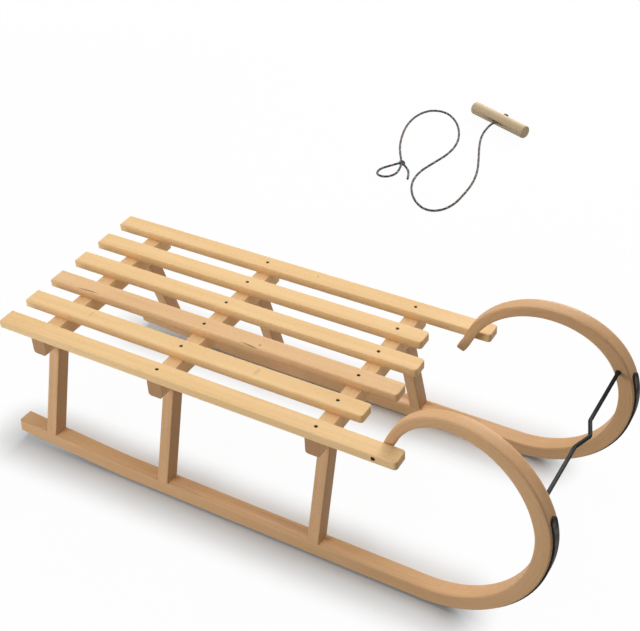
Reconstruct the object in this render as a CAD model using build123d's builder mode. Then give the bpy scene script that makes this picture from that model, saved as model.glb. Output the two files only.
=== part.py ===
"""Wooden horn sled with a loose pull cord, in millimetres.

+X is forward, towards the horns, +Y is the sled's left and +Z is up. The origin lies on the
ground under the middle of the sled. Side pieces are made on the left and mirrored to the right.
"""
import os
from math import cos, pi, radians, sin, tan

from build123d import *

# Seat: six slats on three crossbars
SEAT_REAR = -468.0        # rear end of the slats, from the origin
SEAT_HEIGHT = 239.0       # top of the slats above the ground
SLAT_WIDTH = 31.0
SLAT_THICK = 13.5
SLAT_PITCH = 63.0
SLAT_CORNER = 5.5         # rounding of the front corners, seen from above
SLAT_EASE = 2.0           # eased upper edges
OUTER_SLAT = 706.0        # slat lengths
SECOND_SLAT = 620.0
INNER_SLAT = 643.0
CROSSBAR_WIDTH = 25.0
CROSSBAR_HEIGHT = 32.0
CROSSBAR_LENGTH = 340.0
CROSSBAR_ROUND = 5.0      # rounded lower edges
REAR_CROSSBAR = 72.0      # crossbar stations, from the rear end of the slats
MIDDLE_CROSSBAR = 297.0
FRONT_CROSSBAR = 572.0
SCREW_HOLE = 6.0          # sunk holes of the slats' screws
SCREW_SUNK = 3.0
ARM_HOLE = 7.5            # sunk hole of the screw into the horn
ARM_SCREW = 670.0         # screw through the outer slat into the horn, from the slat's rear end

# Runners: outline of the sole, in the plane of the runner's outer face
RUNNER_OUT = 187.0        # outer face from the middle of the sled, at the sole
RUNNER_LEAN = 2.7         # inward lean of the runner, degrees
RUNNER_WIDTH = 28.0
RUNNER_HEIGHT = 23.5
RUNNER_EASE = 2.5         # rounded long edges
TAIL_START = 4.0          # tail end, from the rear end of the slats
SOLE_START = 224.0        # flat sole, from the rear end of the slats
SOLE_END = 752.0
TAIL_RADIUS = 600.0       # bend up to the straight tail
TAIL_LIFT = 3.5           # degrees
BOW_RADIUS = 181.0        # front bow, from level to upright

# Horns: each thins from the bow to its tip and sweeps in to the outer slat's inner face
CROWN_RADIUS = 143.0      # crown, from upright to level
HEEL_RADIUS = 125.0       # heel, down to the arm
HEEL_TURN = 64.0          # degrees
ARM_LENGTH = 46.0
TIP_THICK = 14.0
TIP_WIDTH = 18.0
HORN_STATIONS = 10        # sections along a horn
HORN_GAP = 0.8            # between the arm and the slat

# Steel shoes and front bar
SHOE_THICK = 3.0
SHOE_WIDTH = 16.0
SHOE_TURN = 20.0          # how far the shoe climbs the crown, degrees
BAR_DIAMETER = 6.0
BAR_ANGLE = 25.0          # place on the crown, degrees above its foremost point
BAR_IN = 4.0              # from the middle of the wood towards its inner edge
BAR_SEAT = 10.0           # depth of the bar's ends in the horns
BAR_BEND = 9.0            # bend radius of the V
V_DEPTH = 11.0
V_HALF_WIDTH = 30.0
COLLAR_DIAMETER = 8.5
COLLAR_THICK = 2.0

# Legs with a tenon at each end
LEG_WIDTH = 26.0
LEG_DEPTH = 20.0
LEG_HEAD_OUT = 136.0      # outer face at the crossbar, from the middle of the sled
LEG_EASE = 2.0
TENON_WIDTH = 12.0
TENON_DEPTH = 12.0
TENON_LENGTH = 13.0
TENON_GAP = 0.15          # play of a tenon in its mortise
SCRIBE = 3.0              # wood left on the foot to fit the runner's curve

# Pull cord, laid out on the ground beside the sled
HANDLE_DIAMETER = 30.0
HANDLE_LENGTH = 165.0
HANDLE_EASE = 3.0
HANDLE_X = -178.0
HANDLE_Y = 1177.0
HANDLE_TURN = -22.0       # handle's axis from +X, degrees
CORD_DIAMETER = 5.0
CORD_HOLE = 6.0
CORD_LEAD = 8.0           # straight lead of the cord out of the handle
KNOT_GAP = 0.2
KNOT_DIAMETER = 13.0
CORD_REST = 2.6           # height of a lying cord's middle

slat_under = SEAT_HEIGHT - SLAT_THICK
crossbar_under = slat_under - CROSSBAR_HEIGHT
crossbar_x = {
    "rear": SEAT_REAR + REAR_CROSSBAR,
    "middle": SEAT_REAR + MIDDLE_CROSSBAR,
    "front": SEAT_REAR + FRONT_CROSSBAR,
}
tail_x = SEAT_REAR + TAIL_START
sole_start_x = SEAT_REAR + SOLE_START
sole_end_x = SEAT_REAR + SOLE_END
tail_length = (sole_start_x - tail_x) / cos(radians(TAIL_LIFT)) - TAIL_RADIUS * tan(radians(TAIL_LIFT))
lean = radians(RUNNER_LEAN)

# The runner's plane lies on its outer face, leaning inwards, and its normal points at the middle.
# Its height leaves the inner edge of the shoe's underside on the ground.
sole_z = SHOE_THICK * cos(lean) + (RUNNER_WIDTH + SHOE_WIDTH) / 2 * sin(lean)
runner_plane = Plane(
    origin=(0, RUNNER_OUT, sole_z), x_dir=(1, 0, 0), z_dir=(0, -cos(lean), -sin(lean))
)
os.makedirs("parts", exist_ok=True)


def write(piece, name):
    """Label a finished piece and write it as one STEP file."""
    piece.part.label = name
    export_step(piece.part, f"parts/{name}.step")


def mirrored(piece):
    """The same piece on the sled's right side."""
    with BuildPart() as right:
        mirror(piece.part, about=Plane.XZ)
    return right


# Tail, sole, bow and the start of the crown follow each other as tangent lines and arcs.
with BuildPart() as runner_blank:
    with BuildSketch(runner_plane):
        with BuildLine():
            lift = JernArc((sole_start_x, 0), (-1, 0), TAIL_RADIUS, -TAIL_LIFT)
            tail = PolarLine(lift @ 1, tail_length, direction=lift % 1)
            Line((sole_start_x, 0), (sole_end_x, 0))
            bow = JernArc((sole_end_x, 0), (1, 0), BOW_RADIUS, 90)
            climb = JernArc(bow @ 1, bow % 1, CROWN_RADIUS, SHOE_TURN)
            bow_in = JernArc((sole_end_x, RUNNER_HEIGHT), (1, 0), BOW_RADIUS - RUNNER_HEIGHT, 90)
            climb_in = JernArc(bow_in @ 1, bow_in % 1, CROWN_RADIUS - RUNNER_HEIGHT, SHOE_TURN)
            Line(climb @ 1, climb_in @ 1)
            Line((sole_end_x, RUNNER_HEIGHT), (sole_start_x, RUNNER_HEIGHT))
            lift_in = JernArc(
                (sole_start_x, RUNNER_HEIGHT), (-1, 0), TAIL_RADIUS - RUNNER_HEIGHT, -TAIL_LIFT
            )
            tail_in = PolarLine(lift_in @ 1, tail_length, direction=lift_in % 1)
            Line(tail_in @ 1, tail @ 1)
        make_face()
    extrude(amount=RUNNER_WIDTH)
    side_faces = faces().filter_by(lambda f: abs(f.normal_at().dot(runner_plane.z_dir)) > 0.999)
    long_edges = side_faces.edges().sort_by(lambda e: runner_plane.to_local_coords(e.center()).Y)[:-2]
    fillet(long_edges, RUNNER_EASE)

# Outer edge of the horn in the runner's plane, from the end of the shoe to the tip
with BuildLine() as horn_edge:
    crown = JernArc(climb @ 1, climb % 1, CROWN_RADIUS, 90 - SHOE_TURN)
    heel = JernArc(crown @ 1, crown % 1, HEEL_RADIUS, HEEL_TURN)
    PolarLine(heel @ 1, ARM_LENGTH, direction=heel % 1)
horn_line = horn_edge.wires()[0]

# Inner face of the outer slat, where the horn's arm lies against it
outer_slat_y = 2.5 * SLAT_PITCH
horn_face_y = outer_slat_y - SLAT_WIDTH / 2 - HORN_GAP


def in_world(direction):
    """A direction in the runner's plane, turned into the sled's frame."""
    return runner_plane.from_local_coords(direction) - runner_plane.origin


def horn_section(run):
    """Plane in the middle of the horn's wood at a distance along its edge, its thickness and width."""
    edge = horn_line.position_at(run, position_mode=PositionMode.LENGTH)
    along = horn_line.tangent_at(run, position_mode=PositionMode.LENGTH)
    out = along.rotate(Axis.Z, -90)
    share = run / horn_line.length
    thick = RUNNER_HEIGHT + (TIP_THICK - RUNNER_HEIGHT) * share
    width = RUNNER_WIDTH + (TIP_WIDTH - RUNNER_WIDTH) * share
    # The sweep eases in along the crown and heel, and the arm stays on the slat's face.
    turned = min(run / (horn_line.length - ARM_LENGTH), 1)
    sweep_in = turned * turned * (3 - 2 * turned)
    depth = sweep_in * (RUNNER_OUT - edge.Y * sin(lean) - horn_face_y) / cos(lean)
    middle = edge - out * (thick / 2) + Vector(0, 0, depth + width / 2)
    plane = Plane(runner_plane.from_local_coords(middle), x_dir=in_world(out), z_dir=in_world(along))
    return plane, thick, width


with BuildPart() as horn:
    for station in range(HORN_STATIONS):
        plane, thick, width = horn_section(horn_line.length * station / (HORN_STATIONS - 1))
        with BuildSketch(plane):
            RectangleRounded(thick, width, RUNNER_EASE)
    loft()
    tip_face = faces().sort_by_distance(plane.origin)[0]
    fillet(tip_face.edges(), RUNNER_EASE * 0.9)


def on_runner(along_plane, inward):
    """(y, z) of a point in a left runner's cross-section: height up its face, depth from the face."""
    return (
        RUNNER_OUT - along_plane * sin(lean) - inward * cos(lean),
        sole_z + along_plane * cos(lean) - inward * sin(lean),
    )


def runner_top(x):
    """Height of the runner's upper face in its plane, at a leg."""
    corner_x = sole_start_x - (TAIL_RADIUS - RUNNER_HEIGHT) * tan(radians(TAIL_LIFT / 2))
    return RUNNER_HEIGHT + max(corner_x - x, 0) * tan(radians(TAIL_LIFT))


def leg_line(x):
    """Middle of a left leg's foot on the runner and of its head under the crossbar, as vectors."""
    foot = Vector(*on_runner(runner_top(x), RUNNER_WIDTH / 2))
    head = Vector(LEG_HEAD_OUT - LEG_WIDTH / 2, crossbar_under)
    return foot, head


def leg_section(x, width, below, above):
    """Corners, as (y, z), of a strip along a left leg, running past its foot and its head."""
    foot, head = leg_line(x)
    axis = (head - foot).normalized()
    across = axis.rotate(Axis.Z, 90) * (width / 2)
    low = foot - axis * below
    high = head + axis * above
    return [low - across, high - across, high + across, low + across]


def cut_mortises(x, play):
    """Cut the sockets of both tenons of a left leg out of the part at hand."""
    reach = TENON_LENGTH + play
    with BuildSketch(Plane.YZ.offset(x)) as socket:
        Polygon(*leg_section(x, TENON_WIDTH + 2 * play, reach, reach), align=None)
    extrude(socket.sketch, amount=TENON_DEPTH / 2 + play, both=True, mode=Mode.SUBTRACT)


# Place of the front bar on the horn's inner face, and the way that face looks
bar_run = CROWN_RADIUS * radians(BAR_ANGLE - SHOE_TURN)
bar_plane, bar_thick, bar_width = horn_section(bar_run)
bar_x, bar_mid_y, bar_z = bar_plane.origin - bar_plane.x_dir * BAR_IN
face_along = horn_section(bar_run + 5)[0].origin - bar_plane.origin
bar_normal = bar_plane.x_dir.cross(face_along).normalized()
bar_y = bar_mid_y - bar_width / 2 / cos(lean) - TENON_GAP
bar_end_y = bar_y + BAR_SEAT

with BuildPart() as runner_left:
    add(runner_blank.part)
    add(horn.part)
    for x in crossbar_x.values():
        cut_mortises(x, TENON_GAP)
    # Blind holes take the ends of the front bar.
    with BuildSketch(Plane.XZ.offset(-bar_end_y)):
        with Locations((bar_x, bar_z)):
            Circle(BAR_DIAMETER / 2 + TENON_GAP)
    extrude(amount=bar_end_y, mode=Mode.SUBTRACT)

write(runner_left, "runner_left")
write(mirrored(runner_left), "runner_right")

# Steel shoes under the soles
with BuildPart() as shoe:
    with BuildSketch(runner_plane.offset((RUNNER_WIDTH - SHOE_WIDTH) / 2)):
        with BuildLine():
            ends = []
            for under in (0, SHOE_THICK):
                shoe_lift = JernArc((sole_start_x, -under), (-1, 0), TAIL_RADIUS + under, -TAIL_LIFT)
                shoe_tail = PolarLine(shoe_lift @ 1, tail_length, direction=shoe_lift % 1)
                Line((sole_start_x, -under), (sole_end_x, -under))
                shoe_bow = JernArc((sole_end_x, -under), (1, 0), BOW_RADIUS + under, 90)
                shoe_crown = JernArc(shoe_bow @ 1, shoe_bow % 1, CROWN_RADIUS + under, SHOE_TURN)
                ends.append((shoe_tail @ 1, shoe_crown @ 1))
            for upper, lower in zip(*ends):
                Line(upper, lower)
        make_face()
    extrude(amount=SHOE_WIDTH)
    end_corners = edges().filter_by(lambda e: abs(e.length - SHOE_THICK) < 0.01).sort_by(Axis.Z)[-2:]
    fillet(end_corners, SHOE_WIDTH * 0.45)

write(shoe, "shoe_left")
write(mirrored(shoe), "shoe_right")

# Legs: the foot is scribed to the runner, and both ends carry a tenon.
for place, x in crossbar_x.items():
    with BuildPart() as leg:
        with BuildSketch(Plane.YZ.offset(x)):
            Polygon(*leg_section(x, LEG_WIDTH, SCRIBE, SCRIBE), align=None)
        extrude(amount=LEG_DEPTH / 2, both=True)
        fillet(edges().filter_by(lambda e: e.length > 2 * LEG_WIDTH), LEG_EASE)
        split(bisect_by=Plane.XY.offset(crossbar_under), keep=Keep.BOTTOM)
        add(runner_blank.part, mode=Mode.SUBTRACT)
        with BuildSketch(Plane.YZ.offset(x)):
            Polygon(*leg_section(x, TENON_WIDTH, TENON_LENGTH, TENON_LENGTH), align=None)
        extrude(amount=TENON_DEPTH / 2, both=True)
    write(leg, f"leg_{place}_left")
    write(mirrored(leg), f"leg_{place}_right")

# Crossbars under the slats
for place, x in crossbar_x.items():
    with BuildPart() as crossbar:
        with BuildSketch(Plane.YZ.offset(x)):
            with Locations((0, crossbar_under)):
                Rectangle(CROSSBAR_LENGTH, CROSSBAR_HEIGHT, align=(Align.CENTER, Align.MIN))
        extrude(amount=CROSSBAR_WIDTH / 2, both=True)
        fillet(edges().filter_by(Axis.Y).group_by(Axis.Z)[0], CROSSBAR_ROUND)
        cut_mortises(x, TENON_GAP)
        mirror(about=Plane.XZ, mode=Mode.INTERSECT)
    write(crossbar, f"crossbar_{place}")

# Slats, from the middle outwards: name, place in pitches from the middle, length
slats = [("inner", 0.5, INNER_SLAT), ("second", 1.5, SECOND_SLAT), ("outer", 2.5, OUTER_SLAT)]
for name, pitches, length in slats:
    with BuildPart() as slat:
        with BuildSketch(Plane.XY.offset(slat_under)):
            with Locations((SEAT_REAR, pitches * SLAT_PITCH)):
                Rectangle(length, SLAT_WIDTH, align=(Align.MIN, Align.CENTER))
            fillet(vertices().group_by(Axis.X)[-1], SLAT_CORNER)
        extrude(amount=SLAT_THICK)
        fillet(faces().sort_by(Axis.Z)[-1].edges(), SLAT_EASE)
        with Locations(*[(crossbar_x[c], pitches * SLAT_PITCH, SEAT_HEIGHT) for c in ("middle", "front")]):
            Hole(SCREW_HOLE / 2, SCREW_SUNK)
        if name == "outer":
            side_y = pitches * SLAT_PITCH + SLAT_WIDTH / 2
            arm_screw = (SEAT_REAR + ARM_SCREW, side_y, slat_under + SLAT_THICK / 2)
            with Locations(Plane(arm_screw, z_dir=(0, 1, 0))):
                Hole(ARM_HOLE / 2, SCREW_SUNK)
    write(slat, f"slat_{name}_left")
    write(mirrored(slat), f"slat_{name}_right")

# Steel bar between the horns, bent forward into a V for the pull cord
with BuildPart() as front_bar:
    with BuildLine() as bar_path:
        FilletPolyline(
            (bar_x, bar_end_y, bar_z),
            (bar_x, V_HALF_WIDTH, bar_z),
            (bar_x + V_DEPTH, 0, bar_z),
            (bar_x, -V_HALF_WIDTH, bar_z),
            (bar_x, -bar_end_y, bar_z),
            radius=BAR_BEND,
        )
    with BuildSketch(Plane(bar_path.line @ 0, z_dir=bar_path.line % 0)):
        Circle(BAR_DIAMETER / 2)
    sweep()
    collar_plane = Plane((bar_x, bar_y, bar_z), x_dir=(1, 0, 0), z_dir=bar_normal)
    with BuildSketch(collar_plane):
        Circle(COLLAR_DIAMETER / 2)
    collar = extrude(amount=COLLAR_THICK)
    mirror(collar, about=Plane.XZ)

write(front_bar, "front_bar")

# Pull handle: a dowel on the ground, bored across its middle for the cord
handle_mid = Vector(HANDLE_X, HANDLE_Y, HANDLE_DIAMETER / 2)
handle_axis = Vector(1, 0, 0).rotate(Axis.Z, HANDLE_TURN)
cord_way = handle_axis.rotate(Axis.Z, -90)
with BuildPart() as handle:
    with BuildSketch(Plane(handle_mid, z_dir=handle_axis)):
        Circle(HANDLE_DIAMETER / 2)
    extrude(amount=HANDLE_LENGTH / 2, both=True)
    fillet(edges().filter_by(GeomType.CIRCLE), HANDLE_EASE)
    with BuildSketch(Plane(handle_mid, z_dir=cord_way)):
        Circle(CORD_HOLE / 2)
    extrude(amount=HANDLE_DIAMETER, both=True, mode=Mode.SUBTRACT)

write(handle, "pull_handle")

# Route of the cord on the ground, from the handle to the loop knot: x, y, height of its middle
cord_route = [
    (-194, 1135, 7), (-192, 1104, 3.2), (-179, 1063, CORD_REST), (-158, 1013, CORD_REST),
    (-136, 958, CORD_REST), (-124, 905, CORD_REST), (-122, 852, CORD_REST), (-124, 806, CORD_REST),
    (-139, 772, CORD_REST), (-166, 760, CORD_REST), (-198, 776, CORD_REST), (-228, 812, CORD_REST),
    (-247, 855, CORD_REST), (-250, 902, CORD_REST), (-238, 950, CORD_REST), (-226, 1000, CORD_REST),
    (-228, 1052, CORD_REST), (-246, 1102, CORD_REST), (-276, 1148, CORD_REST), (-314, 1178, CORD_REST),
    (-352, 1174, CORD_REST), (-372, 1140, CORD_REST), (-374, 1090, CORD_REST), (-363, 1040, CORD_REST),
    (-346, 992, CORD_REST), (-326, 952, CORD_REST),
]
loop_knot = Vector(-301, 912, KNOT_DIAMETER / 2)
# The loop starts and ends at its knot, and a short tail lies beside it.
loop_route = [
    (-292, 882, CORD_REST), (-296, 856, CORD_REST), (-314, 842, CORD_REST),
    (-332, 848, CORD_REST), (-336, 870, CORD_REST), (-322, 892, CORD_REST),
]
tail_route = [(-279, 898, CORD_REST), (-267, 879, CORD_REST), (-260, 859, CORD_REST)]


def at_knot(point):
    """Where a cord that runs to a point leaves the loop knot."""
    away = (Vector(*point) - loop_knot).normalized()
    return tuple(loop_knot + away * (KNOT_DIAMETER / 2 + KNOT_GAP))


def corner_radii(points):
    """Largest tangent arc at each corner of a route: 0.45 of the shorter run over half the turn."""
    radii = []
    for before, here, after in zip(points, points[1:], points[2:]):
        run_in = here - before
        run_out = after - here
        half_turn = radians(run_in.get_angle(run_out)) / 2
        radii.append(0.45 * min(run_in.length, run_out.length) / tan(half_turn))
    return radii


def lay_cord(points, name):
    """A tube along straight runs and tangent arcs."""
    route = [Vector(*p) for p in points]
    radii = corner_radii(route)
    with BuildPart() as cord:
        with BuildLine() as path:
            FilletPolyline(*route, radius=radii)
        with BuildSketch(Plane(path.line @ 0, z_dir=path.line % 0)):
            Circle(CORD_DIAMETER / 2)
        sweep()
    length = sum(e.length for e in path.line.edges())
    section = pi * CORD_DIAMETER**2 / 4
    share = cord.part.volume / (section * length)
    print(f"{name}: {length:.0f} mm long, volume {share:.4f} of its section")
    print(f"  radii {min(radii):.0f} to {max(radii):.0f} mm")
    write(cord, name)


def tie_knot(centre, name):
    """A knot pulled tight, as one round lump."""
    with BuildPart() as knot:
        with Locations(centre):
            Sphere(KNOT_DIAMETER / 2)
    write(knot, name)


# The cord is threaded through the handle, from a stopper knot behind it.
stopper = handle_mid - cord_way * (HANDLE_DIAMETER / 2 + KNOT_DIAMETER / 2 + KNOT_GAP)
threaded = [
    handle_mid - cord_way * (HANDLE_DIAMETER / 2),
    handle_mid + cord_way * (HANDLE_DIAMETER / 2 + CORD_LEAD),
]
lay_cord([tuple(p) for p in threaded] + cord_route + [at_knot(cord_route[-1])], "pull_cord")
lay_cord([at_knot(loop_route[0])] + loop_route + [at_knot(loop_route[-1])], "pull_cord_loop")
lay_cord([at_knot(tail_route[0])] + tail_route, "pull_cord_tail")
tie_knot(stopper, "stopper_knot")
tie_knot(loop_knot, "loop_knot")
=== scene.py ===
# %% [markdown]
# A wooden horn sled, seen from its right front corner. The CAD model is the skeleton of this
# lesson: it is loaded first, stays where it is, and tells every later piece its place. What Blender
# adds is the wood's grain, the steel's skin, the screws, and the cord with its knots.

# %% Load the frame
import math

import bpy
from mathutils import Matrix, Vector


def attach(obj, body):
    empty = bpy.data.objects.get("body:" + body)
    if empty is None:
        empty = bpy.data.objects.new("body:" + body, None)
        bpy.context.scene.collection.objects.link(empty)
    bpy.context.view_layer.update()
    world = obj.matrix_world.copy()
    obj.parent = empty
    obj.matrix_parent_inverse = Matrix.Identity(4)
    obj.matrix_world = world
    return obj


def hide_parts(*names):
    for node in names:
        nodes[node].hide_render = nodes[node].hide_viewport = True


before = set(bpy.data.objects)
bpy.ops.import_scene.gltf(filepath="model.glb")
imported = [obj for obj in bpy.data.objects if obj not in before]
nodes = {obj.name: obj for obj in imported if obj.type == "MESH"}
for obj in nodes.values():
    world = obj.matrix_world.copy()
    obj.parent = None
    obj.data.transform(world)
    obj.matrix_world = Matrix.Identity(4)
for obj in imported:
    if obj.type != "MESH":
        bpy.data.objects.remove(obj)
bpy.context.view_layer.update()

# %% [markdown]
# Two small helpers come first. An operator works on whatever is selected, so one helper clears the
# selection and picks a single object. The other one finishes a piece: it rides on the sled's only
# body and may stand for CAD nodes, which it hides.

# %% Helpers for picking and finishing
BODY = "root"


def pick(thing):
    """Select one object alone and make it the active one."""
    bpy.ops.object.select_all(action="DESELECT")
    thing.select_set(True)
    bpy.context.view_layer.objects.active = thing


def belongs(thing, slot_name, *stands_for):
    """The piece rides on the sled and may stand for CAD nodes. The slot name is not used."""
    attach(thing, BODY)
    if stands_for:
        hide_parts(*stands_for)


# %% [markdown]
# The camera stands at the right front corner, above seat height, a little under two metres away.
# Its place was found by lining up the slats, the screws and both horns with the photograph. It is
# tilted by a few degrees, so its three directions are written out and made into a rotation.

# %% Camera
CAMERA_PLACE = Vector((0.7858, -1.2465, 1.4001))
CAMERA_ROUND = math.radians(31.47)
CAMERA_ABOVE = math.radians(36.97)
CAMERA_TILT = math.radians(-2.72)
CAMERA_LENS = 69.16
SENSOR = 36.0

level_right = Vector((math.cos(CAMERA_ROUND), math.sin(CAMERA_ROUND), 0))
backward = Vector((
    math.sin(CAMERA_ROUND) * math.cos(CAMERA_ABOVE),
    -math.cos(CAMERA_ROUND) * math.cos(CAMERA_ABOVE),
    math.sin(CAMERA_ABOVE),
))
level_up = backward.cross(level_right)
tilted_right = level_right * math.cos(CAMERA_TILT) + level_up * math.sin(CAMERA_TILT)
tilted_up = level_up * math.cos(CAMERA_TILT) - level_right * math.sin(CAMERA_TILT)
facing = Matrix((tilted_right, tilted_up, backward)).transposed()

bpy.ops.object.camera_add(location=CAMERA_PLACE, rotation=facing.to_euler())
camera = bpy.context.object
camera.data.sensor_fit = "HORIZONTAL"
camera.data.sensor_width = SENSOR
camera.data.lens = CAMERA_LENS
bpy.context.scene.camera = camera
print("camera at", tuple(camera.location))

# %% [markdown]
# The pull cord is a limp braid, five millimetres thick and a little over a metre and a quarter long
# from its handle to the knot of its loop. It could be a bevelled curve, but a tube of our own keeps
# a map of where each point lies along and around the cord, which the braid's colours need. The tube
# follows a smooth NURBS line whose control points are the route on the floor.

# %% Smooth line and tube
CORD_THICK = 0.005
CORD_SIDES = 16
CORD_REST = 0.0026
LINE_STEPS = 24


def smooth_line(route):
    """Points along the NURBS line that has the route as its control points."""
    line = bpy.data.curves.new("route", "CURVE")
    line.dimensions = "3D"
    line.resolution_u = LINE_STEPS
    spline = line.splines.new("NURBS")
    spline.points.add(len(route) - 1)
    for point, place in zip(spline.points, route):
        point.co = (*place, 1)
    spline.order_u = 3
    spline.use_endpoint_u = True
    holder = bpy.data.objects.new("route", line)
    bpy.context.scene.collection.objects.link(holder)
    drawn = bpy.data.meshes.new_from_object(holder)
    points = [vertex.co.copy() for vertex in drawn.vertices]
    bpy.data.objects.remove(holder)
    bpy.data.curves.remove(line)
    bpy.data.meshes.remove(drawn)
    return points


def tube(name, path, thick, closed=False):
    """A round tube along a path, with a map of distance along it and share of the way round."""
    count = len(path)
    steps = range(count) if closed else range(count - 1)
    heads = []
    for i in range(count):
        before = path[i - 1] if closed or i else path[0]
        after = path[(i + 1) % count] if closed or i < count - 1 else path[-1]
        heads.append((after - before).normalized())
    side = heads[0].orthogonal().normalized()
    corners = []
    reach = [0.0]
    for i in range(count):
        side = (side - heads[i] * side.dot(heads[i])).normalized()
        rise = heads[i].cross(side)
        for j in range(CORD_SIDES):
            turn = 2 * math.pi * j / CORD_SIDES
            corners.append(path[i] + (side * math.cos(turn) + rise * math.sin(turn)) * thick / 2)
        reach.append(reach[-1] + (path[(i + 1) % count] - path[i]).length)
    faces = []
    places = []
    for i in steps:
        for j in range(CORD_SIDES):
            near = i * CORD_SIDES
            far = (i + 1) % count * CORD_SIDES
            k = (j + 1) % CORD_SIDES
            faces.append((near + j, near + k, far + k, far + j))
            low, high = j / CORD_SIDES, (j + 1) / CORD_SIDES
            places += [(reach[i], low), (reach[i], high), (reach[i + 1], high), (reach[i + 1], low)]
    if not closed:
        last = (count - 1) * CORD_SIDES
        faces.append(tuple(reversed(range(CORD_SIDES))))
        faces.append(tuple(range(last, last + CORD_SIDES)))
        places += [(0.0, 0.0)] * CORD_SIDES + [(reach[count - 1], 0.0)] * CORD_SIDES
    mesh = bpy.data.meshes.new(name)
    mesh.from_pydata(corners, [], faces)
    braid_map = mesh.uv_layers.new(name="braid_map")
    for corner, place in zip(braid_map.data, places):
        corner.uv = place
    for polygon in mesh.polygons:
        polygon.use_smooth = len(polygon.vertices) == 4
    made = bpy.data.objects.new(name, mesh)
    bpy.context.scene.collection.objects.link(made)
    return made


# %% [markdown]
# The route starts at the stopper knot, runs through the handle's bore and bends in three loose
# curves over the floor to the knot of the end loop. The loop and a short tail leave that knot. Each
# of them is its own cord, because one cord can't split in three.

# %% Routes of the cord
HANDLE_RADIUS = 0.015
HANDLE_MIDDLE = Vector((-0.178, 1.177, HANDLE_RADIUS))
HANDLE_TURN = math.radians(-22)
handle_axis = Vector((math.cos(HANDLE_TURN), math.sin(HANDLE_TURN), 0))
cord_way = Vector((handle_axis.y, -handle_axis.x, 0))
LOOP_KNOT = Vector((-0.301, 0.912, 0.0065))
KNOT_REACH = 0.0067
CORD_LEAD = 0.008

main_route = [
    tuple(HANDLE_MIDDLE - cord_way * HANDLE_RADIUS),
    tuple(HANDLE_MIDDLE + cord_way * (HANDLE_RADIUS + CORD_LEAD)),
    (-0.194, 1.135, 0.007), (-0.192, 1.104, 0.0032), (-0.179, 1.063, CORD_REST),
    (-0.158, 1.013, CORD_REST), (-0.136, 0.958, CORD_REST), (-0.124, 0.905, CORD_REST),
    (-0.122, 0.852, CORD_REST), (-0.124, 0.806, CORD_REST), (-0.139, 0.772, CORD_REST),
    (-0.166, 0.760, CORD_REST), (-0.198, 0.776, CORD_REST), (-0.228, 0.812, CORD_REST),
    (-0.247, 0.855, CORD_REST), (-0.250, 0.902, CORD_REST), (-0.238, 0.950, CORD_REST),
    (-0.226, 1.000, CORD_REST), (-0.228, 1.052, CORD_REST), (-0.246, 1.102, CORD_REST),
    (-0.276, 1.148, CORD_REST), (-0.314, 1.178, CORD_REST), (-0.352, 1.174, CORD_REST),
    (-0.372, 1.140, CORD_REST), (-0.374, 1.090, CORD_REST), (-0.363, 1.040, CORD_REST),
    (-0.346, 0.992, CORD_REST), (-0.326, 0.952, CORD_REST),
]
loop_route = [
    (-0.292, 0.882, CORD_REST), (-0.296, 0.856, CORD_REST), (-0.314, 0.842, CORD_REST),
    (-0.332, 0.848, CORD_REST), (-0.336, 0.870, CORD_REST), (-0.322, 0.892, CORD_REST),
]
tail_route = [(-0.279, 0.898, CORD_REST), (-0.267, 0.879, CORD_REST), (-0.260, 0.859, CORD_REST)]


def at_knot(place):
    """Where a cord that runs to a place leaves the loop's knot."""
    away = (Vector(place) - LOOP_KNOT).normalized()
    return tuple(LOOP_KNOT + away * KNOT_REACH)


cord_routes = {
    "pull_cord": main_route + [at_knot(main_route[-1])],
    "pull_cord_loop": [at_knot(loop_route[0])] + loop_route + [at_knot(loop_route[-1])],
    "pull_cord_tail": [at_knot(tail_route[0])] + tail_route,
}
cords = {}
cord_paths = {}
for node, route in cord_routes.items():
    cord_paths[node] = smooth_line(route)
    cords[node] = tube(node.replace("pull_cord", "braided_cord"), cord_paths[node], CORD_THICK)
    run = sum((b - a).length for a, b in zip(cord_paths[node], cord_paths[node][1:]))
    print(node, "line of", round(run, 3), "m")

# %% [markdown]
# A knot pulled tight is a cord wound over and under itself. A ring knot goes round twice and crosses
# itself five times, which gives a full round lump with no gaps. Each knot is the same tube laid
# along a small one: flat on the floor at the loop, and flat against the handle where the cord ends.

# %% Knots
KNOT_POINTS = 150
KNOT_TURNS = 2
KNOT_CROSSINGS = 5
KNOT_SPREAD = 0.0020
KNOT_RISE = 0.0024
KNOT_CORD = 0.0046
LOOP_KNOT_DROP = Vector((0, 0, 0.0017))
STOPPER_BACK = 0.0200


def tied_knot(name, middle, across, upward):
    """A small ring knot of cord about a middle point, lying in the plane of two directions."""
    outward = across.cross(upward)
    path = []
    for step in range(KNOT_POINTS):
        turn = 2 * math.pi * step / KNOT_POINTS
        radius = (2 + math.cos(KNOT_CROSSINGS * turn)) * KNOT_SPREAD
        over = math.sin(KNOT_CROSSINGS * turn) * KNOT_RISE
        way = across * math.cos(KNOT_TURNS * turn) + upward * math.sin(KNOT_TURNS * turn)
        path.append(middle + way * radius + outward * over)
    return tube(name, path, KNOT_CORD, closed=True)


loop_knot = tied_knot(
    "knot_of_the_loop", LOOP_KNOT - LOOP_KNOT_DROP, Vector((1, 0, 0)), Vector((0, 1, 0))
)
stopper_middle = HANDLE_MIDDLE - cord_way * STOPPER_BACK
stopper_knot = tied_knot("knot_behind_the_handle", stopper_middle, handle_axis, Vector((0, 0, 1)))
print("knots:", loop_knot.name, stopper_knot.name)

# %% [markdown]
# The bent runners, the round handle, the bar and the shoes are the curved pieces. The CAD mesh is
# made of loose flat triangles, which would show as facets on them. A merged copy with smooth shading
# keeps the exact shape and loses the facets, and it stands for its node.

# %% Smooth copies of the curved pieces
MERGE_REACH = 0.00001
SMOOTH_UNDER = math.radians(32)


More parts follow.
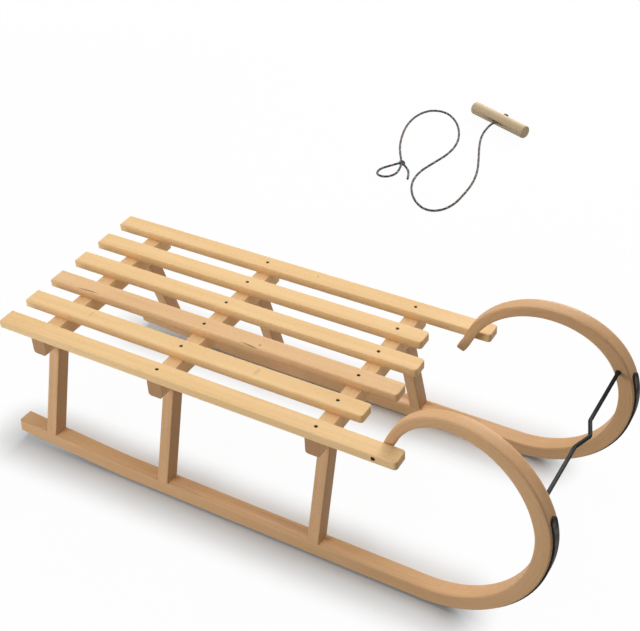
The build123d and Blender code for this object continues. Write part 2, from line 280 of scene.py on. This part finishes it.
def smooth_copy(node, name):
    """A merged copy of a CAD node, smooth wherever its faces meet at a small angle."""
    made = bpy.data.objects.new(name, nodes[node].data.copy())
    bpy.context.scene.collection.objects.link(made)
    pick(made)
    bpy.ops.object.mode_set(mode="EDIT")
    bpy.ops.mesh.select_all(action="SELECT")
    bpy.ops.mesh.remove_doubles(threshold=MERGE_REACH)
    bpy.ops.object.mode_set(mode="OBJECT")
    bpy.ops.object.shade_smooth_by_angle(angle=SMOOTH_UNDER)
    return made


curved = {}
for node in ("runner_left", "runner_right", "shoe_left", "shoe_right", "front_bar", "pull_handle"):
    curved[node] = smooth_copy(node, f"smooth_{node}")
    print(node, "as", len(curved[node].data.vertices), "merged corners")

# %% [markdown]
# Wood that is steamed and bent keeps its grain along the bend. A pattern on plain coordinates would
# run straight through the horns, so every corner of a runner gets a place of its own: how far along
# the runner it lies, how deep in its height, and how deep in its width. The outline is straight,
# then bow, crown and heel, each an arc, and the arm.

# %% Places along the bent runners
SOLE_END = 0.284
BOW = 0.181
CROWN = 0.143
HEEL = 0.125
HEEL_TURN = math.radians(64)
RUNNER_LIFT = 0.0040
RUNNER_MIDDLE = 0.175
CROWN_X = SOLE_END + BOW - CROWN
HEEL_UP = BOW + CROWN - HEEL
CROWN_START = SOLE_END + BOW * math.pi / 2
HEEL_START = CROWN_START + CROWN * math.pi / 2
ARM_START = HEEL_START + HEEL * HEEL_TURN


def along_runner(place):
    """Distance along the runner and depth from its outer edge, for a corner of its mesh."""
    x = place.x
    up = place.z - RUNNER_LIFT
    if up > BOW and x >= CROWN_X:
        turn = math.atan2(up - BOW, x - CROWN_X)
        return CROWN_START + CROWN * turn, CROWN - math.hypot(x - CROWN_X, up - BOW)
    if up > BOW and x < CROWN_X:
        turn = math.atan2(CROWN_X - x, up - HEEL_UP)
        if turn <= HEEL_TURN:
            return HEEL_START + HEEL * turn, HEEL - math.hypot(x - CROWN_X, up - HEEL_UP)
        out = Vector((-math.sin(HEEL_TURN), math.cos(HEEL_TURN)))
        down = Vector((-math.cos(HEEL_TURN), -math.sin(HEEL_TURN)))
        from_heel = Vector((x - CROWN_X, up - HEEL_UP)) - out * HEEL
        return ARM_START + from_heel.dot(down), -from_heel.dot(out)
    if x > SOLE_END:
        turn = math.atan2(x - SOLE_END, BOW - up)
        return SOLE_END + BOW * turn, BOW - math.hypot(x - SOLE_END, up - BOW)
    return x, up


for node in ("runner_left", "runner_right"):
    mesh = curved[node].data
    grain_place = mesh.attributes.new("grain_place", "FLOAT_VECTOR", "POINT")
    for vertex, slot_of_place in zip(mesh.vertices, grain_place.data):
        far, deep = along_runner(vertex.co)
        slot_of_place.vector = (far, deep, abs(vertex.co.y) - RUNNER_MIDDLE)
    print(node, "has a place in the grain for", len(mesh.vertices), "corners")

# %% [markdown]
# The slats are held by screws that sit in sunk holes. A screw head is a short disc with a rounded
# rim and a crossed recess. It is made once at the origin, from a cylinder and two thin blocks that
# are cut out of it, and then copied into each hole.

# %% One screw head
HEAD_RADIUS = 0.0029
HEAD_DEPTH = 0.0016
HEAD_RIM = 0.0004
RECESS_LONG = 0.0034
RECESS_WIDE = 0.0007
RECESS_DEEP = 0.0014


def cut_block(target, size):
    """Cut a block of a size, standing in the top of the target, out of it."""
    bpy.ops.object.select_all(action="DESELECT")
    bpy.ops.mesh.primitive_cube_add(size=1, location=(0, 0, HEAD_DEPTH / 2))
    block = bpy.context.object
    block.scale = size
    pick(block)
    bpy.ops.object.transform_apply(location=True, rotation=True, scale=True)
    pick(target)
    cut = target.modifiers.new("recess", "BOOLEAN")
    cut.operation = "DIFFERENCE"
    cut.object = block
    bpy.ops.object.modifier_apply(modifier=cut.name)
    bpy.data.objects.remove(block)


bpy.ops.object.select_all(action="DESELECT")
bpy.ops.mesh.primitive_cylinder_add(vertices=32, radius=HEAD_RADIUS, depth=HEAD_DEPTH)
screw_head = bpy.context.object
screw_head.name = "screw_head_model"
rounded = screw_head.modifiers.new("rim", "BEVEL")
rounded.width = HEAD_RIM
rounded.segments = 3
rounded.limit_method = "ANGLE"
pick(screw_head)
bpy.ops.object.modifier_apply(modifier=rounded.name)
cut_block(screw_head, (RECESS_LONG, RECESS_WIDE, RECESS_DEEP))
cut_block(screw_head, (RECESS_WIDE, RECESS_LONG, RECESS_DEEP))
pick(screw_head)
bpy.ops.object.shade_smooth_by_angle(angle=SMOOTH_UNDER)
print("screw head of", len(screw_head.data.polygons), "faces")

# %% [markdown]
# Two screws hold each slat, one over the middle crossbar and one over the front one. A further, larger
# one goes sideways through the front end of each outer slat into the horn's arm. No two screws are
# driven to the same angle, so each copy is turned a little further than the one before.

# %% Screws in the slats and the arms
SLAT_COUNT = 6
SEAT_TOP = 0.239
HOLE_SUNK = 0.003
SLAT_PITCH = 0.063
SLAT_SIDE = 0.173
SCREW_ROWS = {"middle": -0.171, "front": 0.104}
ARM_SCREW = Vector((0.202, SLAT_SIDE, 0.23225))
ARM_HEAD_LARGER = 1.2
SCREW_TURN = 0.7
screws = []


def drive_screw(name, seat, outward, larger=1.0):
    """A screw head whose underside lies at a seat, looking outward, each one turned differently."""
    turn = Matrix.Rotation(SCREW_TURN * len(screws), 4, "Z") @ Matrix.Scale(larger, 4)
    stand = outward.to_track_quat("Z", "Y").to_matrix().to_4x4()
    made = bpy.data.objects.new(name, screw_head.data.copy())
    place = Matrix.Translation(seat + outward * (HEAD_DEPTH * larger / 2))
    made.data.transform(place @ stand @ turn)
    bpy.context.scene.collection.objects.link(made)
    screws.append(made)


for row, row_x in SCREW_ROWS.items():
    for number in range(SLAT_COUNT):
        slat_y = (number - (SLAT_COUNT - 1) / 2) * SLAT_PITCH
        hole_floor = Vector((row_x, slat_y, SEAT_TOP - HOLE_SUNK))
        drive_screw(f"slat_screw_{row}_{number + 1}", hole_floor, Vector((0, 0, 1)))
for side, sign in (("left", 1), ("right", -1)):
    hole_floor = Vector((ARM_SCREW.x, sign * (ARM_SCREW.y - HOLE_SUNK), ARM_SCREW.z))
    drive_screw(f"arm_screw_{side}", hole_floor, Vector((0, sign, 0)), ARM_HEAD_LARGER)
bpy.data.objects.remove(screw_head)
print("screws:", len(screws))

# %% [markdown]
# Every finish is a small graph of shader nodes. Written node by node, a graph is long and hard to
# read, so one class stands for a socket: adding or multiplying two of them adds the Math node, and
# its one method adds any other node.

# %% Shader sockets as Python values
class Socket:
    """An output socket of a material's nodes, with maths and a method that adds a node."""

    def __init__(self, tree, socket=None):
        self.tree = tree
        self.socket = socket

    def node(self, kind, settings=None, sockets=None, output=0):
        """Add a node, set it up, link or set its inputs, and give one of its outputs."""
        made = self.tree.nodes.new(kind)
        for key, value in (settings or {}).items():
            setattr(made, key, value)
        for key, value in (sockets or {}).items():
            if isinstance(value, Socket):
                self.tree.links.new(value.socket, made.inputs[key])
            else:
                made.inputs[key].default_value = value
        return Socket(self.tree, made.outputs[output] if len(made.outputs) else None)

    def output(self, name):
        """Another output of the same node."""
        return Socket(self.tree, self.socket.node.outputs[name])

    def maths(self, operation, *values):
        """A Math node on this value and others."""
        sockets = dict(enumerate((self, *values)))
        return self.node("ShaderNodeMath", {"operation": operation}, sockets)

    def __add__(self, other):
        return self.maths("ADD", other)

    __radd__ = __add__

    def __sub__(self, other):
        return self.maths("SUBTRACT", other)

    def __rsub__(self, other):
        return self.node("ShaderNodeMath", {"operation": "SUBTRACT"}, {0: other, 1: self})

    def __mul__(self, other):
        return self.maths("MULTIPLY", other)

    __rmul__ = __mul__

    def above(self, floor):
        """The larger of this value and a floor."""
        return self.maths("MAXIMUM", floor)

    def below(self, roof):
        """The smaller of this value and a roof."""
        return self.maths("MINIMUM", roof)

    def ramp(self, low, high):
        """0 below low, 1 above high, smooth between them."""
        limits = {0: self, 1: low, 2: high, 3: 0.0, 4: 1.0}
        return self.node("ShaderNodeMapRange", {"interpolation_type": "SMOOTHSTEP"}, limits)

    def mixed(self, first, second):
        """A colour between two, this value being the share of the second."""
        return self.node("ShaderNodeMix", {"data_type": "RGBA"}, {0: self, 6: first, 7: second}, 2)

    def stretched(self, factors, shift=(0, 0, 0)):
        """A vector times factors, plus a shift."""
        sockets = {0: self, 1: factors, 2: shift}
        return self.node("ShaderNodeVectorMath", {"operation": "MULTIPLY_ADD"}, sockets)

    def noise(self, scale, detail=3.0, roughness=0.55):
        """Cloudy values about a half over this vector."""
        return self.node(
            "ShaderNodeTexNoise", {},
            {"Vector": self, "Scale": scale, "Detail": detail, "Roughness": roughness},
        )


def new_finish(name):
    """An empty material, and a socket to start its nodes from."""
    material = bpy.data.materials.new(name)
    material.use_nodes = True
    material.node_tree.nodes.clear()
    return material, Socket(material.node_tree)


def close_finish(start, shader_inputs):
    """The surface shader and the material's output."""
    shader = start.node("ShaderNodeBsdfPrincipled", {}, shader_inputs)
    start.node("ShaderNodeOutputMaterial", {}, {"Surface": shader})


def bumped(height, strength, reach):
    """A normal roughened by a height."""
    sockets = {"Height": height, "Strength": strength, "Distance": reach}
    return height.node("ShaderNodeBump", {}, sockets)


# %% [markdown]
# The sled is beech: pale, even wood with faint growth rings, fine fibres and many short dark
# flecks. The pattern is solid, so it runs on from a face round the edge to the next one, and shows
# rings on cut ends. Each piece turns the pattern so that its first axis lies along the wood. Marks
# such as knots and splits are small ellipses at a place on the piece.

# %% Beech
WANDER_STRETCH = (3.0, 22.0, 22.0)
FIBRE_STRETCH = (9.0, 620.0, 620.0)
FLECK_STRETCH = (150.0, 900.0, 900.0)
CLOUD_STRETCH = (4.0, 26.0, 26.0)
FLECK_DARKER = 0.42
END_SHARE = 0.92
MARK_COLOUR = (0.055, 0.028, 0.012, 1)


def grain_along(direction, middle):
    """Coordinates about a middle point whose first axis lies along a straight piece of wood."""
    along = Vector(direction).normalized()
    side = Vector((0, 0, 1)).cross(along)
    if side.length < 0.5:
        side = Vector((1, 0, 0))
    side.normalize()
    turn = Matrix((along, side, along.cross(side)))
    angles = tuple(turn.to_euler())
    shift = tuple(-(turn @ Vector(middle)))

    def coordinates(start):
        plain = start.node("ShaderNodeTexCoord", output="Object")
        sockets = {"Vector": plain, "Location": shift, "Rotation": angles}
        return start.node("ShaderNodeMapping", {}, sockets)

    return coordinates


def grain_in_bend(start):
    """Coordinates that follow a bent runner."""
    named = {"attribute_type": "GEOMETRY", "attribute_name": "grain_place"}
    return start.node("ShaderNodeAttribute", named, output="Vector")


def beech(
    name, coordinates, pale, deep, seed, pith,
    ring_gap=0.0042, marks=(), end_colour=None, fleck_tone=0.32,
):
    """Varnished beech. Marks are (along, across, long, short, slope, strength)."""
    material, start = new_finish(name)
    place = coordinates(start)
    parts = start.node("ShaderNodeSeparateXYZ", {}, {0: place})
    along, across, up = parts, parts.output("Y"), parts.output("Z")
    wander = place.stretched(WANDER_STRETCH, (seed, seed, 0.3)).noise(1.0, 2.0) - 0.5
    off_side = across - pith[0] + wander * 0.011
    off_up = up - pith[1] + wander * 0.007
    ring_reach = (off_side * off_side + off_up * off_up).maths("SQRT")
    rings = (ring_reach * (2 * math.pi / ring_gap)).maths("SINE") * 0.5 + 0.5
    fibre = place.stretched(FIBRE_STRETCH, (seed * 3, 0, 0)).noise(1.0, 4.0, 0.62)
    fleck = place.stretched(FLECK_STRETCH, (0, seed, 0)).noise(1.0, 1.0, 0.4).ramp(0.63, 0.74)
    cloud = place.stretched(CLOUD_STRETCH, (seed * 2, 0, 0)).noise(1.0, 3.0)
    depth = rings * 0.20 + (fibre - 0.5) * 0.75 + (cloud - 0.5) * 1.15 + 0.34
    depth = depth.above(0.0).below(1.0)
    colour = depth.mixed(pale, deep)
    dark = (*[part * FLECK_DARKER for part in deep[:3]], 1)
    colour = (fleck * fleck_tone).mixed(colour, dark)
    if end_colour:
        normal = start.node("ShaderNodeNewGeometry", output="Normal")
        sideways = start.node("ShaderNodeSeparateXYZ", {}, {0: normal}, "Y")
        on_end = sideways.maths("ABSOLUTE").ramp(0.75, 0.95)
        colour = (on_end * END_SHARE).mixed(colour, end_colour)
    for mark_along, mark_across, long, short, slope, strength in marks:
        gone = along - mark_along
        off = across - mark_across - gone * slope + wander * 0.004
        spread = (gone * gone) * (1 / long**2) + (off * off) * (1 / short**2)
        inside = (1.25 - spread).above(0.0).below(1.0)
        colour = (inside * strength).mixed(colour, MARK_COLOUR)
    roughness = 0.46 + fibre * 0.16 + fleck * 0.10
    relief = fibre * 0.6 - fleck * 0.5 + rings * 0.15
    close_finish(start, {
        "Base Color": colour,
        "Roughness": roughness,
        "Specular IOR Level": 0.20,
        "Coat Weight": 0.03,
        "Coat Roughness": 0.35,
        "Normal": bumped(relief, 0.16, 0.0004),
    })
    return material


SLAT_PALE = (0.86, 0.590, 0.300, 1)
SLAT_DEEP = (0.73, 0.460, 0.205, 1)
ROSY_PALE = (0.81, 0.540, 0.290, 1)
ROSY_DEEP = (0.67, 0.400, 0.190, 1)
SLAT_MIDDLE_Z = 0.23225
slats = [
    ("slat_outer_right", -2.5, SLAT_PALE, SLAT_DEEP, []),
    ("slat_second_right", -1.5, SLAT_PALE, SLAT_DEEP, [
        (-0.034, 0.0, 0.0042, 0.010, 0.3, 0.17),
        (-0.346, 0.001, 0.0034, 0.009, 0.3, 0.13),
    ]),
    ("slat_inner_right", -0.5, ROSY_PALE, ROSY_DEEP, [
        (-0.064, -0.006, 0.0022, 0.0017, 0.0, 0.75),
        (-0.080, -0.0135, 0.015, 0.0011, -0.10, 0.80),
        (-0.392, -0.0125, 0.021, 0.0012, 0.05, 0.80),
    ]),
    ("slat_inner_left", 0.5, SLAT_PALE, SLAT_DEEP, []),
    ("slat_second_left", 1.5, SLAT_PALE, SLAT_DEEP, []),
    ("slat_outer_left", 2.5, SLAT_PALE, SLAT_DEEP, [(-0.075, 0.0015, 0.0019, 0.0014, 0.0, 0.7)]),
]
for number, (node, pitches, pale, deep, marks) in enumerate(slats):
    middle = (0.0, pitches * SLAT_PITCH, SLAT_MIDDLE_Z)
    pith = (0.020 - 0.011 * (number % 3), -0.045 - 0.012 * (number % 4))
    finish = beech(
        f"beech_{node}", grain_along((1, 0, 0), middle), pale, deep, 1.7 + 2.3 * number, pith,
        marks=marks,
    )
    nodes[node].material_slots[0].material = finish
print("slats finished:", len(slats))

# %% [markdown]
# The legs and the runners are a darker, redder beech than the seat. The crossbars are as pale as the
# slats, and only their cut ends, which drink more varnish, are brown. Grain runs along each piece:
# across the sled in a crossbar, from foot to head in a splayed leg, and round the bends in a runner.

# %% Beech on crossbars, legs and runners
FRAME_PALE = (0.68, 0.412, 0.208, 1)
FRAME_DEEP = (0.54, 0.303, 0.140, 1)
CROSSBAR_PALE = (0.95, 0.655, 0.345, 1)
CROSSBAR_DEEP = (0.86, 0.545, 0.265, 1)
CROSSBAR_END = (0.365, 0.192, 0.086, 1)
CROSSBAR_MIDDLE_Z = 0.2095
CROSSBAR_X = {"rear": -0.396, "middle": -0.171, "front": 0.104}
LEG_FOOT = Vector((0, 0.1719, 0.0269))
LEG_HEAD = Vector((0, 0.123, 0.1935))

for number, (row, row_x) in enumerate(CROSSBAR_X.items()):
    finish = beech(
        f"beech_crossbar_{row}", grain_along((0, 1, 0), (row_x, 0, CROSSBAR_MIDDLE_Z)),
        CROSSBAR_PALE, CROSSBAR_DEEP, 20.0 + number, (0.03, -0.06), end_colour=CROSSBAR_END,
    )
    nodes[f"crossbar_{row}"].material_slots[0].material = finish
    for side, sign in (("left", 1), ("right", -1)):
        foot = Vector((row_x, sign * LEG_FOOT.y, LEG_FOOT.z))
        head = Vector((row_x, sign * LEG_HEAD.y, LEG_HEAD.z))
        finish = beech(
            f"beech_leg_{row}_{side}", grain_along(head - foot, (foot + head) / 2),
            FRAME_PALE, FRAME_DEEP, 30.0 + 2 * number + sign, (0.02, 0.05),
        )
        nodes[f"leg_{row}_{side}"].material_slots[0].material = finish

for number, side in enumerate(("left", "right")):
    finish = beech(
        f"beech_runner_{side}", grain_in_bend, FRAME_PALE, FRAME_DEEP, 50.0 + 3 * number,
        (0.045, 0.02), ring_gap=0.0036, fleck_tone=0.18,
    )
    curved[f"runner_{side}"].data.materials.clear()
    curved[f"runner_{side}"].data.materials.append(finish)
    belongs(curved[f"runner_{side}"], "frame_wood", f"runner_{side}")
print("frame finished")

# %% [markdown]
# The handle is a length of turned dowel, greyer and drier than the sled. It takes the same wood
# with its own tones, turned along the dowel.

# %% Handle
HANDLE_PALE = (0.66, 0.520, 0.335, 1)
HANDLE_DEEP = (0.52, 0.385, 0.230, 1)
finish = beech(
    "beech_handle", grain_along(handle_axis, HANDLE_MIDDLE), HANDLE_PALE, HANDLE_DEEP, 71.0,
    (0.01, -0.03), ring_gap=0.0032, fleck_tone=0.16,
)
curved["pull_handle"].data.materials.clear()
curved["pull_handle"].data.materials.append(finish)
belongs(curved["pull_handle"], "handle_wood", "pull_handle")
print("handle finished")

# %% [markdown]
# The shoes are dark rolled steel, worn a little brighter in streaks. The bar is coated black, with
# a faint orange-peel skin. The screws are blackened steel. Their colours change so little that one
# small function with a few numbers makes all three.

# %% Steel
def dark_steel(name, dull, bright, metal, rough, shine, grain_scale):
    """Dark steel with streaks from a stretched noise, rougher where it is dull."""
    material, start = new_finish(name)
    place = start.node("ShaderNodeTexCoord", output="Object")
    streak = place.stretched(grain_scale).noise(1.0, 4.0, 0.6)
    patch = place.noise(60.0, 3.0)
    worn = ((streak - 0.5) * 1.4 + (patch - 0.5) * 0.9 + 0.35).above(0.0).below(1.0)
    close_finish(start, {
        "Base Color": worn.mixed(dull, bright),
        "Metallic": metal,
        "Roughness": rough + 0.25 * (1 - worn),
        "Specular IOR Level": shine,
        "Normal": bumped(streak + patch * 0.5, 0.10, 0.0003),
    })
    return material


shoe_steel = dark_steel(
    "rolled_shoe_steel", (0.010, 0.008, 0.007, 1), (0.045, 0.038, 0.032, 1), 0.20, 0.45, 0.20,
    (12.0, 420.0, 60.0),
)
bar_steel = dark_steel(
    "black_bar_coat", (0.005, 0.005, 0.006, 1), (0.014, 0.014, 0.015, 1), 0.0, 0.40, 0.16,
    (500.0, 90.0, 500.0),
)
screw_steel = dark_steel(
    "blackened_screw", (0.022, 0.018, 0.015, 1), (0.09, 0.08, 0.07, 1), 0.80, 0.36, 0.30,
    (700.0, 700.0, 700.0),
)
for node, finish, slot_name in (
    ("shoe_left", shoe_steel, "shoe_steel"),
    ("shoe_right", shoe_steel, "shoe_steel"),
    ("front_bar", bar_steel, "bar_steel"),
):
    curved[node].data.materials.clear()
    curved[node].data.materials.append(finish)
    belongs(curved[node], slot_name, node)
for screw in screws:
    screw.data.materials.clear()
    screw.data.materials.append(screw_steel)
    belongs(screw, "bar_steel")
print("steel finished")

# %% [markdown]
# The cord is a braid of sixteen strands, eight winding each way. Most are near black, and one in
# four is a tracer of orange, sea green or cream, which gives the flecks along it. The map on the
# tube says how far along and around a point lies, and a strand is a line of equal sum or
# difference of the two.

# %% Braided cord
STRANDS = 8.0
LAY_LENGTH = 0.026


def braid(name):
    """Dark braid with coloured tracers, from the tube's own map."""
    material, start = new_finish(name)
    spot = start.node("ShaderNodeUVMap", {"uv_map": "braid_map"})
    parts = start.node("ShaderNodeSeparateXYZ", {}, {0: spot})
    along, around = parts, parts.output("Y")
    wound = along * (1 / LAY_LENGTH)
    right_lay = ((around + wound) * STRANDS).maths("ADD", 400.0)
    left_lay = ((around - wound) * STRANDS).maths("ADD", 400.0)
    right_ridge = (right_lay.maths("FRACT") * math.pi).maths("SINE")
    left_ridge = (left_lay.maths("FRACT") * math.pi).maths("SINE")
    right_number = right_lay.maths("FLOOR")
    left_number = left_lay.maths("FLOOR")
    over = ((right_number + left_number) * 0.5).maths("FRACT").maths("GREATER_THAN", 0.25)
    right_step = right_number.maths("MODULO", STRANDS)
    left_step = left_number.maths("MODULO", STRANDS)

    def strand(step, number):
        return (step - number).maths("ABSOLUTE").maths("LESS_THAN", 0.5)

    night = (0.018, 0.022, 0.026, 1)
    colour_right = strand(right_step, 1.0).mixed(night, (0.62, 0.20, 0.07, 1))
    colour_right = strand(right_step, 5.0).mixed(colour_right, (0.09, 0.19, 0.21, 1))
    colour_left = strand(left_step, 2.0).mixed(night, (0.66, 0.56, 0.44, 1))
    colour_left = strand(left_step, 6.0).mixed(colour_left, (0.07, 0.12, 0.15, 1))
    colour = over.mixed(colour_left, colour_right)
    ridge = over * right_ridge + (1 - over) * left_ridge
    close_finish(start, {
        "Base Color": colour,
        "Roughness": 0.92 - ridge * 0.22,
        "Normal": bumped(ridge, 0.55, 0.0007),
    })
    return material


braid_finish = braid("dark_fleck_braid")
for node, piece in cords.items():
    piece.data.materials.append(braid_finish)
    belongs(piece, "cord_braid", node)
for piece, node in ((loop_knot, "loop_knot"), (stopper_knot, "stopper_knot")):
    piece.data.materials.append(braid_finish)
    belongs(piece, "cord_braid", node)

print("cords declared:", len(cords))

# %% [markdown]
# The ground is plain white, with a soft shadow that hugs the runners. The floor is a large pale sheet
# that takes the real shadow. Near the runners the camera sees it in a grey paint, a painted shade
# round them, and a hand's breadth from the runners it turns to a plain white glow. The world is
# white to the camera and a gentle, even light to the sled.

# %% Floor and world
FLOOR_SIZE = 16
FLOOR_PLACE = (0, 0, -0.0005)
SOLE_MIDDLE = -0.075
SOLE_HALF_LONG = 0.395
RUNNER_LINE = 0.173
RUNNER_HALF_WIDE = 0.014
SHADOW_REACH = 0.085
NEAR_SHARE = 0.96
FAR_FADE = (0.9, 2.0)
BOUNCE_GREY = (0.42, 0.42, 0.42, 1)
# Grey of the floor near the runners: a painted shade round them, darker than the white glow.
PAINTED_SHADE_GREY = (0.77, 0.775, 0.77, 1)
WHITE = (1, 1, 1, 1)
bpy.ops.object.select_all(action="DESELECT")
bpy.ops.mesh.primitive_plane_add(size=FLOOR_SIZE, location=FLOOR_PLACE)
floor = bpy.context.object
floor.name = "pale_floor"
floor_finish, start = new_finish("floor_painted_shade_and_white_glow")
spot = start.node("ShaderNodeTexCoord", output="Object")
parts = start.node("ShaderNodeSeparateXYZ", {}, {0: spot})
past_end = ((parts - SOLE_MIDDLE).maths("ABSOLUTE") - SOLE_HALF_LONG).above(0.0)
off_line = (parts.output("Y").maths("ABSOLUTE") - RUNNER_LINE).maths("ABSOLUTE")
past_side = (off_line - RUNNER_HALF_WIDE).above(0.0)
away = (past_end * past_end + past_side * past_side).maths("SQRT")
# Share of the white glow: none at the runners, where the painted grey shade shows, nearly all farther
# out.
white_glow_share = away.ramp(0.0, SHADOW_REACH) * NEAR_SHARE + away.ramp(*FAR_FADE) * (1 - NEAR_SHARE)
seen = start.node("ShaderNodeLightPath", output="Is Camera Ray")
seen = seen.above(seen.output("Is Glossy Ray")).above(seen.output("Is Transmission Ray"))
bounce = start.node("ShaderNodeBsdfDiffuse", {}, {"Color": BOUNCE_GREY})
# The grey paint the camera sees near the runners is a painted shade, on top of their real shadow.
painted_shade_floor = start.node("ShaderNodeBsdfDiffuse", {}, {"Color": PAINTED_SHADE_GREY})
plain_white = start.node("ShaderNodeEmission", {}, {"Color": WHITE, "Strength": 1.0})
ground = start.node("ShaderNodeMixShader", {}, {0: white_glow_share, 1: painted_shade_floor, 2: plain_white})
floor_look = start.node("ShaderNodeMixShader", {}, {0: seen, 1: bounce, 2: ground})
start.node("ShaderNodeOutputMaterial", {}, {"Surface": floor_look})
floor.data.materials.append(floor_finish)

SKY_LEVEL = 0.14
world = bpy.context.scene.world or bpy.data.worlds.new("studio")
bpy.context.scene.world = world
world.use_nodes = True
world.node_tree.nodes.clear()
air = Socket(world.node_tree)
ray = air.node("ShaderNodeLightPath", output="Is Camera Ray")
plain_view = ray.above(ray.output("Is Glossy Ray")).above(ray.output("Is Transmission Ray"))
gentle_sky = air.node("ShaderNodeBackground", {}, {"Color": WHITE, "Strength": SKY_LEVEL})
white_sky = air.node("ShaderNodeBackground", {}, {"Color": WHITE, "Strength": 1.0})
sky = air.node("ShaderNodeMixShader", {}, {0: plain_view, 1: gentle_sky, 2: white_sky})
air.node("ShaderNodeOutputWorld", {}, {"Surface": sky})
print("floor:", floor.name, "world:", world.name)

# %% [markdown]
# One broad lamp hangs overhead, a little to the far side, and a second one stands low and far behind
# it, so that the seat is brightest, the faces towards us are a shade darker, and the shadow falls
# on our side of the runners. A weaker, cooler one on the near side opens the shade.

# %% Lamps
def soft_lamp(name, place, aim, size, power):
    """A square lamp at a place, turned to an aim."""
    bpy.ops.object.select_all(action="DESELECT")
    toward = Vector(aim) - Vector(place)
    turn = toward.to_track_quat("-Z", "Y").to_euler()
    bpy.ops.object.light_add(type="AREA", location=place, rotation=turn)
    lamp = bpy.context.object
    lamp.name = name
    lamp.data.shape = "SQUARE"
    lamp.data.size = size
    lamp.data.energy = power
    return lamp


key = soft_lamp("key_lamp", (0.1, 0.8, 2.8), (0.0, 0.0, 0.0), 3.0, 58)
back = soft_lamp("back_lamp", (0.0, 5.0, 2.2), (0.0, 0.0, 0.1), 2.4, 205)
fill = soft_lamp("fill_lamp", (-1.1, -2.1, 0.75), (-0.1, -0.1, 0.12), 1.2, 36)
fill.data.color = (0.90, 0.94, 1.0)
bpy.context.scene.view_settings.view_transform = "Standard"
print("lamps:", key.name, back.name, fill.name)
